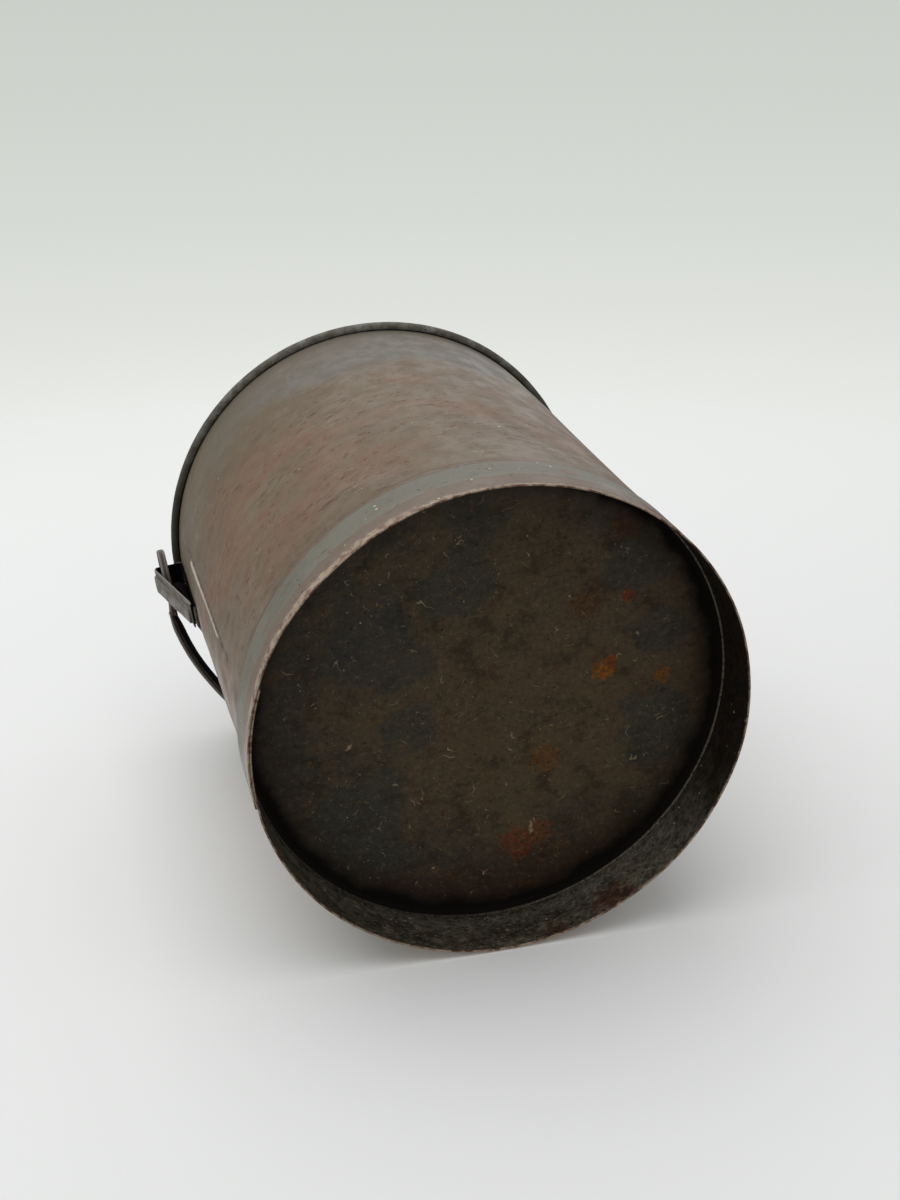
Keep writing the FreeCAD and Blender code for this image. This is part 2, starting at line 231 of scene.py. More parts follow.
def make_piece(name, body, parts, materials, nodes=(), crease=32):
    """A mesh object from (points, faces) parts that rides on a body and stands for its CAD nodes.

    A part may have a third item, which gives each point a mark: above zero rubbed light, on the wrap's seam
    and the bail's lip also a painted highlight, and below zero painted shade, down to -1. A fourth gives
    each face's material number."""
    points = []
    faces = []
    wear_and_painted_light = []
    numbers = []
    for part in parts:
        first = len(points)
        points.extend((part[0] * MM).tolist())
        faces.extend([[first + corner for corner in face] for face in part[1]])
        wear_and_painted_light.extend(part[2] if len(part) > 2 else [0.0] * len(part[0]))
        numbers.extend(part[3] if len(part) > 3 else [0] * len(part[1]))
    mesh = bpy.data.meshes.new(name)
    mesh.from_pydata(points, [], faces)
    for material in materials:
        mesh.materials.append(material)
    mesh.polygons.foreach_set("material_index", numbers)
    mesh.attributes.new("wear_and_painted_light", "FLOAT", "POINT").data.foreach_set("value", wear_and_painted_light)
    shape = bmesh.new()
    shape.from_mesh(mesh)
    bmesh.ops.recalc_face_normals(shape, faces=shape.faces)
    shape.to_mesh(mesh)
    shape.free()
    mesh.shade_smooth()
    mesh.set_sharp_from_angle(angle=math.radians(crease))
    piece = bpy.data.objects.new(name, mesh)
    scene.collection.objects.link(piece)
    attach(piece, body)
    if nodes:
        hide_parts(*nodes)
    return piece


def paint(red, green, blue):
    """A colour given from 0 to 255 as it is seen, as a linear one."""
    linear = []
    for value in (red, green, blue):
        share = value / 255
        linear.append(share / 12.92 if share <= 0.04045 else ((share + 0.055) / 1.055) ** 2.4)
    return (*linear, 1.0)


class Graph:
    """A material's nodes. Places in it are millimetres in the row frame."""

    def __init__(self, name):
        self.material = bpy.data.materials.new(name)
        self.material.use_nodes = True
        self.tree = self.material.node_tree
        self.shader = self.tree.nodes["Principled BSDF"]
        coordinates = self.tree.nodes.new("ShaderNodeTexCoord")
        self.place = self.vector("MULTIPLY", coordinates.outputs["Object"], (1000, 1000, 1000))
        parts = self.add("ShaderNodeSeparateXYZ", {}, {0: self.place})
        self.x, self.y, self.z = parts.outputs[0], parts.outputs[1], parts.outputs[2]
        self.colour = None
        self.heights = []

    def add(self, kind, settings, inputs):
        """A node with its settings, and its inputs given as values or as other nodes' outputs."""
        node = self.tree.nodes.new(kind)
        for key, value in settings.items():
            setattr(node, key, value)
        for key, value in inputs.items():
            self.join(node.inputs[key], value)
        return node

    def join(self, socket, value):
        if isinstance(value, bpy.types.NodeSocket):
            self.tree.links.new(value, socket)
        else:
            socket.default_value = value

    def vector(self, operation, first, second):
        node = self.add("ShaderNodeVectorMath", {"operation": operation}, {0: first, 1: second})
        return node.outputs["Value" if operation in ("DISTANCE", "DOT_PRODUCT", "LENGTH") else "Vector"]

    def math(self, operation, first, second=0.0):
        return self.add("ShaderNodeMath", {"operation": operation}, {0: first, 1: second}).outputs[0]

    def times(self, first, *others):
        for other in others:
            first = self.math("MULTIPLY", first, other)
        return first

    def sway(self, value, amount):
        """How far a value from 0 to 1 is off its middle, times an amount."""
        return self.times(self.math("SUBTRACT", value, 0.5), amount)

    def ease(self, value, low, high, start=0.0, end=1.0):
        """An easy curve from start to end as the value goes from low to high."""
        node = self.add("ShaderNodeMapRange", {"interpolation_type": "SMOOTHSTEP"},
                        {0: value, 1: low, 2: high, 3: start, 4: end})
        return node.outputs[0]

    def band(self, value, middle, half, soft):
        """1 where the value is within half of the middle."""
        away = self.math("ABSOLUTE", self.math("SUBTRACT", value, middle))
        return self.ease(away, half + soft, max(half - soft, 0.0))

    def noise(self, size, stretch=(1, 1, 1), seed=0.0, detail=5.0, rough=0.55, bend=0.0):
        """Cloudy noise from 0 to 1 with features about size across, longer where stretch is more."""
        factors = tuple(1 / (size * factor) for factor in stretch)
        place = self.vector("MULTIPLY", self.place, factors)
        place = self.vector("ADD", place, (seed, seed * 1.7, seed * 0.6))
        node = self.add("ShaderNodeTexNoise", {}, {
            "Vector": place, "Scale": 1.0, "Detail": detail, "Roughness": rough, "Distortion": bend})
        return node.outputs[0]

    def specks(self, spacing, radius, share, seed):
        """1 inside small uneven specks, of which only a share of the places has one."""
        scaled = self.vector("MULTIPLY", self.place, (1 / spacing,) * 3)
        place = self.vector("ADD", scaled, (seed, seed, seed * 2))
        node = self.add("ShaderNodeTexVoronoi", {}, {"Vector": place, "Scale": 1.0})
        colour = self.add("ShaderNodeSeparateColor", {}, {0: node.outputs["Color"]})
        present = self.math("LESS_THAN", colour.outputs[0], share)
        size = self.math("MULTIPLY_ADD", colour.outputs[1], radius / spacing)
        size.node.inputs[2].default_value = radius / spacing * 0.4
        inside = self.math("LESS_THAN", node.outputs["Distance"], size)
        return self.times(present, inside)

    def spot(self, place, radius, ragged=0.35, seed=0.0, grain=2.5):
        """1 inside a ragged round patch about a place."""
        away = self.vector("DISTANCE", self.place, place)
        uneven = self.sway(self.noise(grain, seed=seed, detail=4), radius * ragged * 4)
        away = self.math("ADD", away, uneven)
        return self.ease(away, radius * 1.15, radius * 0.75)

    def attribute(self, name):
        return self.add("ShaderNodeAttribute", {"attribute_name": name}, {}).outputs["Fac"]

    def mix(self, factor, first, second, blend="MIX"):
        node = self.add("ShaderNodeMix", {"data_type": "RGBA", "blend_type": blend},
                        {0: factor, 6: first, 7: second})
        return node.outputs[2]

    def layer(self, colour, factor, over, strength=1.0):
        """The colour with another laid over it where the factor is."""
        if strength != 1.0:
            factor = self.times(factor, strength)
        return self.mix(factor, colour, over)

    def lay(self, factor, over, strength=1.0):
        """Lays another colour over the material's own where the factor is."""
        self.colour = self.layer(self.colour, factor, over, strength)

    def strew(self, *rows):
        """Lays specks over the colour. A row is their spacing, radius, share, seed, tint and strength."""
        for spacing, radius, share, seed, tint, strength in rows:
            self.lay(self.specks(spacing, radius, share, seed), paint(*tint), strength)

    def raise_by(self, factor, height):
        """Adds a height in millimetres to the bump."""
        self.heights.append(self.times(factor, height))

    def finish(self, roughness, metallic=0.0, specular=0.22):
        """Joins the colour, the roughness and the bump to the shader."""
        self.join(self.shader.inputs["Base Color"], self.colour)
        self.join(self.shader.inputs["Roughness"], roughness)
        self.join(self.shader.inputs["Metallic"], metallic)
        self.shader.inputs["Specular IOR Level"].default_value = specular
        total = self.heights[0]
        for height in self.heights[1:]:
            total = self.math("ADD", total, height)
        bump = self.add("ShaderNodeBump", {}, {"Strength": 1.0, "Distance": MM, "Height": total})
        self.join(self.shader.inputs["Normal"], bump.outputs[0])
        return self.material


def painted_tin():
    """The outside of the wrap: thin grey-brown paint, worn to red-brown in strokes round the pail."""
    g = Graph("painted_tin")
    clouds = g.noise(30, seed=3.1, detail=4)
    small = g.noise(8, (1, 1, 0.5), seed=6.3, detail=6, rough=0.62)
    g.colour = g.mix(g.ease(clouds, 0.38, 0.62), paint(109, 98, 81), paint(118, 108, 92))
    g.lay(g.ease(small, 0.5, 0.66), paint(98, 88, 73), 0.5)
    front = g.ease(g.y, -34, -58)
    rise = g.math("ADD", g.ease(g.z, 90, 128), g.sway(clouds, 1.8))
    g.lay(g.times(g.ease(rise, 0.4, 0.9), front), paint(105, 104, 98), 0.9)
    back = g.ease(g.math("ADD", g.ease(g.z, 96, 140), g.sway(clouds, 2.0)), 0.4, 1.0)
    g.lay(back, paint(110, 103, 91), 0.5)
    patches = g.ease(g.noise(26, (1, 1, 0.7), seed=12.2, detail=5), 0.42, 0.60)
    middle = g.times(g.ease(g.z, 22, 36), g.ease(g.z, 122, 84))
    strokes = g.ease(g.noise(6, (1, 1, 0.3), seed=5.3, detail=7, rough=0.68), 0.46, 0.62)
    worn = g.times(middle, g.math("ADD", g.times(patches, 0.65), g.times(strokes, 0.35)))
    g.lay(worn, paint(130, 101, 82), 0.75)
    g.lay(g.times(worn, strokes, patches), paint(114, 82, 67), 0.55)
    for size, seed in ((4.2, 21.7), (2.6, 25.1)):
        marks = g.ease(g.noise(size, (1, 1, 0.32), seed=seed, detail=5, rough=0.62), 0.585, 0.63)
        marks = g.times(marks, g.ease(g.noise(18, seed=seed + 3, detail=2), 0.44, 0.54),
                        g.ease(g.z, 128, 90))
        g.lay(marks, paint(90, 54, 43), 0.8)
    fine = g.times(g.ease(g.noise(1.8, (1, 1, 0.4), seed=31.0, detail=6, rough=0.7), 0.60, 0.69),
                   g.ease(g.noise(12, seed=36.0), 0.42, 0.6))
    g.lay(fine, paint(76, 60, 49), 0.65)
    grain = g.noise(0.9, (1, 1, 0.7), seed=2.0, detail=5, rough=0.68)
    g.colour = g.mix(0.55, g.colour, g.mix(grain, paint(52, 46, 40), paint(190, 178, 162)), "SOFT_LIGHT")
    g.strew((2.6, 0.30, 0.20, 4.0, (60, 43, 35), 0.8),
            (6.5, 0.32, 0.24, 8.0, (186, 176, 158), 0.8))
    scratch = g.band(g.noise(12, (1, 1, 0.2), seed=41.0, detail=2), 0.5, 0.005, 0.003)
    scratch = g.times(scratch, g.ease(g.noise(16, seed=44.0), 0.54, 0.64))
    g.lay(scratch, paint(158, 146, 128), 0.55)
    ragged = g.sway(grain, 0.9)
    # On the wrap this mark is the seam's edge: worn tin and a painted highlight, laid pale over the paint.
    g.lay(g.ease(g.math("ADD", g.attribute("wear_and_painted_light"), ragged), 0.35, 0.62), paint(186, 174, 158), 0.85)
    low = g.band(g.math("ADD", g.z, g.sway(small, 1.6)), 21.2, 0.25, 0.35)
    g.lay(low, paint(88, 60, 50), 0.55)
    bead = g.ease(g.z, 145.9, 146.15)
    rim = g.mix(g.ease(g.noise(3.0, seed=51.0, detail=6, rough=0.65), 0.40, 0.64),
                paint(78, 74, 66), paint(102, 99, 91))
    rim = g.layer(rim, g.ease(g.noise(5, seed=57.0, detail=6, rough=0.7), 0.52, 0.64),
                  paint(124, 123, 117), 0.6)
    # Away from its -Y side the bead is darkened: painted shade.
    rim = g.layer(rim, g.ease(g.y, -58, -18), paint(40, 37, 29), 0.9)
    rim = g.layer(rim, g.specks(1.5, 0.26, 0.3, seed=15.0), paint(36, 28, 22), 0.8)
    rim = g.layer(rim, g.specks(2.1, 0.2, 0.25, seed=19.0), paint(158, 152, 142), 0.7)
    g.lay(bead, rim)
    g.raise_by(g.noise(1.6, seed=61.0, detail=6, rough=0.6), 0.06)
    g.raise_by(worn, -0.03)
    g.raise_by(fine, -0.03)
    g.raise_by(g.noise(11, seed=64.0, detail=3), 0.14)
    rough = g.ease(g.noise(6, seed=71.0, detail=5), 0.3, 0.7, 0.46, 0.64)
    return g.finish(rough)


def bare_tin():
    """The inside of the pail: dulled tin with water stains and rust, more of it low down."""
    g = Graph("bare_tin")
    clouds = g.noise(20, seed=7.7, detail=6, rough=0.6)
    g.colour = g.mix(g.ease(clouds, 0.36, 0.66), paint(88, 80, 70), paint(128, 122, 112))
    runs = g.ease(g.noise(7, (1, 1, 5), seed=14.0, detail=5), 0.50, 0.66)
    g.lay(runs, paint(92, 74, 58), 0.6)
    low = g.ease(g.z, 70, 20)
    rust = g.ease(g.math("ADD", g.noise(8, seed=23.0, detail=7, rough=0.66), g.times(low, 0.12)), 0.58, 0.68)
    g.lay(rust, paint(92, 54, 32), 0.8)
    g.strew((2.2, 0.3, 0.3, 3.0, (58, 36, 24), 0.8),
            (4.1, 0.3, 0.2, 6.0, (160, 152, 140), 0.5))
    g.raise_by(g.noise(1.2, seed=27.0, detail=6, rough=0.65), 0.06)
    g.raise_by(rust, 0.05)
    rough = g.ease(rust, 0, 1, 0.46, 0.8)
    return g.finish(rough, g.ease(rust, 0, 1, 0.45, 0.0))


def raw_edge(g, grain):
    """Lays the rubbed pink and beige metal of the foot's cut edge over the colour, where it is worn."""
    ragged = g.sway(grain, 1.2)
    raw = g.ease(g.math("ADD", g.attribute("wear_and_painted_light"), ragged), 0.5, 0.8)
    tint = g.mix(g.ease(g.noise(3, seed=33.0, detail=6, rough=0.7), 0.42, 0.58),
                 paint(84, 52, 40), paint(150, 134, 114))
    g.lay(raw, tint, 0.9)


def foot_tin():
    """The foot ring's outside: a blue-grey band, a pale ridge and a rubbed lower edge."""
    g = Graph("foot_tin")
    clouds = g.noise(12, (1, 1, 0.5), seed=6.6, detail=5)
    small = g.noise(4, (1, 1, 0.4), seed=9.9, detail=6, rough=0.66)
    uneven = g.sway(clouds, 3.0)
    g.colour = g.mix(g.ease(clouds, 0.4, 0.6), paint(108, 108, 98), paint(117, 117, 107))
    lower = g.ease(g.math("ADD", g.z, uneven), 9.6, 6.6)
    g.lay(lower, paint(118, 103, 92), 0.8)
    line = g.band(g.math("ADD", g.z, g.times(uneven, 0.6)), 8.7, 0.35, 0.5)
    g.lay(line, paint(132, 129, 116), 0.3)
    g.lay(g.band(g.z, 18.4, 0.4, 0.3), paint(96, 66, 56), 0.65)
    g.lay(g.ease(small, 0.56, 0.68), paint(84, 72, 62), 0.6)
    strokes = g.noise(6, (1, 1, 0.3), seed=18.0, detail=6, rough=0.65)
    g.lay(g.ease(strokes, 0.57, 0.66), paint(124, 88, 74), 0.6)
    g.lay(g.spot((45.0, -46.0, 3.0), 6.5, 0.5, seed=2.0), paint(104, 58, 48), 0.7)
    grain = g.noise(0.7, seed=2.0, detail=5, rough=0.7)
    g.colour = g.mix(0.5, g.colour, g.mix(grain, paint(54, 48, 42), paint(192, 182, 168)), "SOFT_LIGHT")
    left = g.times(g.ease(g.x, 10, -30), g.ease(g.y, 0, -25))
    height = g.math("ADD", g.times(left, 2.2), 1.6)
    crumbs = g.noise(0.8, (1.6, 1.6, 0.6), seed=47.0, detail=6, rough=0.8)
    rubbed = g.math("SUBTRACT", height, g.math("ADD", g.z, g.sway(crumbs, 9.0)))
    rubbed = g.ease(g.math("ADD", rubbed, g.times(uneven, 0.4)), 0.0, 1.0)
    tint = g.mix(g.ease(g.noise(2.5, seed=37.0, detail=6, rough=0.7), 0.40, 0.56),
                 paint(112, 84, 70), paint(160, 146, 126))
    g.lay(rubbed, tint, 0.8)
    raw_edge(g, grain)
    g.strew((2.0, 0.26, 0.28, 4.0, (56, 40, 34), 0.8),
            (3.2, 0.28, 0.28, 9.0, (196, 186, 168), 0.8))
    g.raise_by(grain, 0.06)
    g.raise_by(g.noise(6, seed=39.0, detail=3), 0.10)
    rough = g.ease(clouds, 0.3, 0.7, 0.46, 0.64)
    return g.finish(rough)


def foot_inside_tin():
    """The inside of the foot ring: bare metal gone dark and mottled, blacker on the right."""
    g = Graph("foot_inside_tin")
    clouds = g.noise(9, (1, 1, 0.6), seed=8.1, detail=5, rough=0.6)
    small = g.noise(2.6, (1, 1, 0.8), seed=11.1, detail=7, rough=0.7)
    g.colour = g.mix(g.ease(clouds, 0.36, 0.64), paint(58, 52, 41), paint(80, 77, 68))
    g.lay(g.ease(small, 0.50, 0.64), paint(36, 31, 23), 0.75)
    g.lay(g.ease(g.noise(2.0, seed=17.0, detail=6, rough=0.7), 0.58, 0.70), paint(122, 119, 110), 0.7)
    g.lay(g.ease(g.noise(9, seed=13.0, detail=6), 0.56, 0.66), paint(66, 42, 28), 0.7)
    under_lip = g.band(g.math("ADD", g.z, g.sway(small, 2.0)), 12.6, 1.0, 1.2)
    g.lay(under_lip, paint(104, 103, 98), 0.4)
    pale = g.times(g.ease(g.y, 22, 44), g.ease(g.x, 4, 26), g.ease(small, 0.36, 0.52))
    g.lay(pale, paint(106, 104, 94), 0.6)
    right = g.ease(g.math("ADD", g.x, g.sway(clouds, 26)), 38, 60)
    burnt = g.mix(g.ease(small, 0.42, 0.62), paint(15, 10, 6), paint(42, 30, 20))
    g.lay(right, burnt, 0.92)
    upper = g.ease(g.y, 0, -30)
    g.lay(upper, paint(34, 29, 22), 0.7)
    g.lay(g.spot((23.0, 60.0, 4.0), 6.0, 0.6, seed=3.0), paint(74, 34, 22), 0.75)
    blotches = g.noise(4.5, (1, 1, 0.7), seed=43.0, detail=6, rough=0.66)
    g.lay(g.ease(blotches, 0.47, 0.36), paint(28, 24, 17), 0.6)
    g.lay(g.times(g.ease(blotches, 0.53, 0.64), g.ease(g.x, 60, 30)), paint(118, 112, 96), 0.5)
    pits = g.noise(0.9, (1.5, 1.5, 0.8), seed=53.0, detail=6, rough=0.75)
    g.lay(g.ease(pits, 0.49, 0.38), paint(16, 13, 8), 0.8)
    bright = g.times(g.ease(pits, 0.54, 0.63), g.ease(small, 0.38, 0.56), g.ease(g.x, 62, 30))
    g.lay(bright, paint(136, 131, 116), 0.7)
    grain = g.noise(0.8, seed=2.0, detail=5, rough=0.7)
    g.colour = g.mix(0.5, g.colour, g.mix(grain, paint(48, 42, 34), paint(190, 182, 166)), "SOFT_LIGHT")
    raw_edge(g, grain)
    g.strew((1.8, 0.28, 0.35, 4.0, (24, 17, 12), 0.85),
            (2.6, 0.26, 0.25, 9.0, (156, 148, 132), 0.7))
    g.raise_by(small, 0.12)
    g.raise_by(grain, 0.06)
    return g.finish(g.ease(clouds, 0.4, 0.6, 0.72, 0.5), 0.1)


def bottom_tin():
    """The pan's underside: dark blue-black and brown clouds, rust spots and fine pale litter."""
    g = Graph("bottom_tin")
    clouds = g.noise(24, seed=4.4, detail=6, rough=0.58)
    small = g.noise(7, seed=11.0, detail=7, rough=0.62)
    uneven = g.math("ADD", g.sway(clouds, 1.8),
                    g.sway(small, 0.9))
    brown_heart = g.vector("DISTANCE", g.place, (10.0, -6.0, PAN_UNDER))
    blueness = g.math("ADD", g.ease(brown_heart, 20, 74), uneven)
    g.colour = g.mix(g.ease(blueness, 0.2, 1.0), paint(80, 70, 55), paint(56, 56, 51))
    g.lay(g.ease(small, 0.50, 0.66), paint(50, 40, 28), 0.7)
    g.lay(g.ease(g.noise(10, seed=17.0, detail=7, rough=0.62), 0.54, 0.68), paint(92, 77, 56), 0.55)
    g.lay(g.ease(g.noise(5, seed=19.0, detail=7, rough=0.66), 0.57, 0.66), paint(72, 48, 28), 0.6)
    blue_places = [((-28, -22), 15), ((-39, 28), 15), ((44, -29), 9), ((1, -51), 9), ((-22, 2), 8),
                   ((44, 20), 12), ((48, -8), 8), ((-4, -34), 10)]
    for number, ((x, y), radius) in enumerate(blue_places):
        spot = g.spot((x, y, PAN_UNDER), radius, 0.55, seed=20.0 + number, grain=9)
        g.lay(spot, paint(50, 56, 58), 0.6)
    rust_places = [
        ((31.6, -0.6), 2.9, (136, 84, 8), 1.0), ((33.8, -2.8), 1.8, (124, 64, 12), 1.0),
        ((47.3, 5.1), 2.3, (114, 72, 14), 1.0), ((2.5, 44.8), 4.6, (108, 56, 32), 0.8),
        ((8.5, 43.0), 3.6, (108, 62, 34), 0.75), ((3.5, 48.0), 2.6, (104, 54, 30), 0.7),
        ((12.9, 20.8), 4.2, (106, 74, 32), 0.7), ((42.3, -40.9), 5.0, (96, 60, 28), 0.7),
        ((28.3, -20.5), 4.4, (84, 54, 26), 0.7), ((40.0, -20.4), 1.8, (112, 52, 10), 0.95),
        ((26.0, -22.5), 1.6, (78, 52, 20), 0.7), ((25.4, 8.3), 1.9, (62, 54, 32), 0.7),
    ]
    crumbs = g.ease(g.noise(1.3, seed=57.0, detail=6, rough=0.72), 0.40, 0.56)
    for number, ((x, y), radius, tint, strength) in enumerate(rust_places):
        spot = g.spot((x, y, PAN_UNDER), radius, 0.5, seed=40.0 + number, grain=1.6)
        shade = g.mix(crumbs, paint(*[value * 0.7 for value in tint]), paint(*tint))
        g.lay(g.times(spot, g.ease(crumbs, 0.0, 0.6, 0.7, 1.0)), shade, strength)
        g.raise_by(spot, 0.05)
    low = g.times(g.ease(g.math("ADD", g.y, g.times(uneven, 9)), 38, 62), g.ease(crumbs, 0.0, 1.0, 0.5, 1.0))
    g.lay(low, paint(58, 26, 12), 0.6)
    streak = g.noise(3.0, (3.0, 0.5, 1), seed=69.0, detail=6, rough=0.7)
    g.lay(g.ease(streak, 0.56, 0.70), paint(96, 80, 54), 0.4)
    g.lay(g.ease(streak, 0.44, 0.30), paint(34, 27, 19), 0.5)
    mottle = g.noise(1.7, seed=74.0, detail=7, rough=0.75)
    g.lay(g.ease(mottle, 0.53, 0.64), paint(106, 94, 72), 0.42)
    g.lay(g.ease(mottle, 0.46, 0.35), paint(28, 22, 15), 0.5)
    grain = g.noise(0.8, seed=2.0, detail=6, rough=0.75)
    g.colour = g.mix(0.85, g.colour, g.mix(grain, paint(20, 18, 14), paint(226, 212, 184)), "SOFT_LIGHT")
    thick = g.ease(g.noise(15, seed=66.0, detail=3), 0.40, 0.62)
    litter = g.times(g.specks(1.1, 0.17, 0.40, seed=2.0), thick)
    g.lay(litter, paint(128, 110, 76), 0.75)
    g.strew((1.9, 0.26, 0.30, 5.0, (22, 16, 10), 0.8),
            (3.0, 0.20, 0.26, 7.0, (150, 134, 104), 0.8),
            (7.0, 0.42, 0.3, 13.0, (104, 62, 24), 0.75))
    for size, seed in ((6.0, 81.0), (4.0, 91.0)):
        hair = g.band(g.noise(size, seed=seed, detail=1, bend=0.6), 0.5, 0.005, 0.003)
        hair = g.times(hair, g.ease(g.noise(size * 0.8, seed=seed + 3, detail=2), 0.60, 0.66))
        g.lay(hair, paint(150, 134, 104), 0.7)
    # A dark ring towards the pan's edge and a near-black band in its corner are painted shade; the band also
    # sets the roughness.
    away = g.vector("LENGTH", g.vector("MULTIPLY", g.place, (1, 1, 0)), (0, 0, 0))
    ragged = g.sway(g.noise(9, seed=63.0, detail=6), 12.0)
    g.lay(g.ease(g.math("ADD", away, ragged), 51, 63), paint(40, 26, 16), 0.65)
    edge = g.ease(g.math("ADD", away, g.times(ragged, 0.55)), 57.6, 62.4)
    g.lay(edge, paint(5, 4, 2), 0.94)
    lip = g.times(g.attribute("wear_and_painted_light"), g.ease(grain, 0.34, 0.56), g.ease(g.x, -30, 30, 0.35, 1.0))
    g.lay(lip, paint(122, 114, 100), 0.9)
    g.raise_by(small, 0.12)
    g.raise_by(grain, 0.09)
    g.raise_by(litter, 0.12)
    rough = g.math("MAXIMUM", g.ease(small, 0.35, 0.65, 0.40, 0.62), edge)
    return g.finish(rough, 0.0, 0.18)


def old_metal(name, dark, light, stain, size, metallic=0.2, specular=0.22):
    """Bare strip metal: clouded, stained, its edges rubbed light (also a painted highlight on the bail's
    lip), its folds painted near-black as painted shade.
    """
    g = Graph(name)
    clouds = g.noise(size, seed=5.5, detail=6, rough=0.62)
    g.colour = g.mix(g.ease(clouds, 0.38, 0.62), paint(*dark), paint(*light))
    stains = g.ease(g.noise(size * 0.6, seed=15.5, detail=6, rough=0.66), 0.53, 0.66)
    g.lay(stains, paint(*stain), 0.7)
    grain = g.noise(0.45, seed=2.0, detail=5, rough=0.65)
    wear_and_painted_light = g.attribute("wear_and_painted_light")
    ragged = g.sway(grain, 0.9)
    # Marks above zero lighten the edges: rubbed metal, and on the bail's lip a painted highlight as well.
    rubbed = g.ease(g.math("ADD", wear_and_painted_light, ragged), 0.45, 0.8)
    g.lay(rubbed, paint(*[(value + 150) / 2 for value in light]), 0.85)
    # Marks below zero paint the metal near-black: painted shade in folds and on sides turned from the light.
    painted_shade = g.ease(g.math("ADD", wear_and_painted_light, ragged), -0.35, -0.7)
    g.lay(painted_shade, paint(9, 7, 6), 0.96)
    g.strew((1.1, 0.14, 0.3, 4.0, (34, 28, 24), 0.8),
            (1.7, 0.14, 0.2, 9.0, (172, 166, 156), 0.6))
    g.raise_by(clouds, 0.05)
    g.raise_by(grain, 0.04)
    rough = g.math("MAXIMUM", g.ease(clouds, 0.35, 0.65, 0.60, 0.44), g.times(painted_shade, 0.95))
    return g.finish(rough, metallic, specular)


painted = painted_tin()
inside = bare_tin()
foot_outside = foot_tin()
foot_inside = foot_inside_tin()
under_pan = bottom_tin()
ear_metal = old_metal("ear_tin", (82, 77, 68), (104, 99, 89), (78, 62, 52), 5.0)
# The ears' inner faces, tabs and folds take this near-black finish: painted shade.
ear_painted_shade = old_metal("ear_painted_shade_tin", (20, 16, 13), (34, 28, 23), (44, 24, 18), 3.0, 0.0, 0.04)
bail_metal = old_metal("bail_tin", (68, 55, 50), (88, 76, 69), (58, 43, 37), 4.0)
solder_metal = old_metal("solder", (84, 80, 74), (108, 105, 98), (96, 70, 60), 2.5)
dark_solder = old_metal("dark_solder", (48, 42, 37), (72, 66, 60), (66, 44, 38), 2.5)
wire_metal = old_metal("iron_wire", (40, 36, 32), (70, 64, 58), (66, 42, 28), 2.0, 0.6)


def make_wrap():
    """The wrap with its flare, its rolled rim and the step of its lap seam."""
    wall = rounded([WALL_LOW, WALL_FLARE, WALL_WAIST, (WALL_RIM_RADIUS, BEAD_CENTRE[1])], [180, 260])
    wall = even(wall, 2.2)
    hole = arc(BEAD_CENTRE, BEAD_HOLE, math.pi, BEAD_END, 20)
    bead_arc = arc(BEAD_CENTRE, BEAD_HOLE + SHEET, BEAD_END, math.pi, 26)
    back = wall[::-1] - (SHEET, 0)
    outline = np.concatenate([wall[:-1], hole, bead_arc, back[1:]])
    step = math.radians(SEAM_END)
    angles = np.linspace(step + 0.0012, step + 2 * math.pi - 0.0012, 900)
    dents = waver(5, 7, 70)
    lumps = waver(8, 60, 30)

    def shift(angle, radius, height):
        wall_part = smooth(height, 28, 44) * smooth(height, 140, 118)
        past = np.degrees(step - angle) % 360
        lap = smooth(past, 44, 7) * smooth(height, 40, 62) * smooth(height, 143, 112)
        wall_radius = np.interp(height, [WALL_FLARE[1], WALL_WAIST[1], WALL_TOP],
                                [WALL_FLARE[0], WALL_WAIST[0], WALL_RIM_RADIUS])
        outer = radius > wall_radius - SHEET / 2
        oval = 0.18 * np.cos(angle + math.radians(35))
        on_bead = smooth(height, 146.0, 146.4)
        moved = radius + wall_part * (oval + 0.13 * dents(angle, height))
        moved = moved + np.where(outer, SEAM_STEP, 0.0) * lap
        moved = moved + on_bead * 0.02 * lumps(angle, 0)
        return moved, height + on_bead * 0.03 * lumps(angle + 1.0, 0)

    points, faces = turned(outline, angles, shift)
    height = points[:, 2]
    angle = np.arctan2(points[:, 1], points[:, 0])
    past = np.degrees(np.angle(np.exp(1j * (step - angle))))
    # The seam's edge from z 54 to 119 is marked light: worn tin and a painted highlight.
    near_step = (past > -0.12) & (past < 0.12 + 0.75 * smooth(height, 76, 100))
    wear_and_painted_light = np.where(near_step, smooth(height, 54, 66) * smooth(height, 119, 114), 0.0)
    column = np.arange(len(points)) % len(outline)
    numbers = material_numbers(faces, column >= len(wall) + len(hole) + len(bead_arc))
    make_piece("wrap", "pail", [(points, faces, wear_and_painted_light, numbers)], [painted, inside],
               ["body_sheet"])


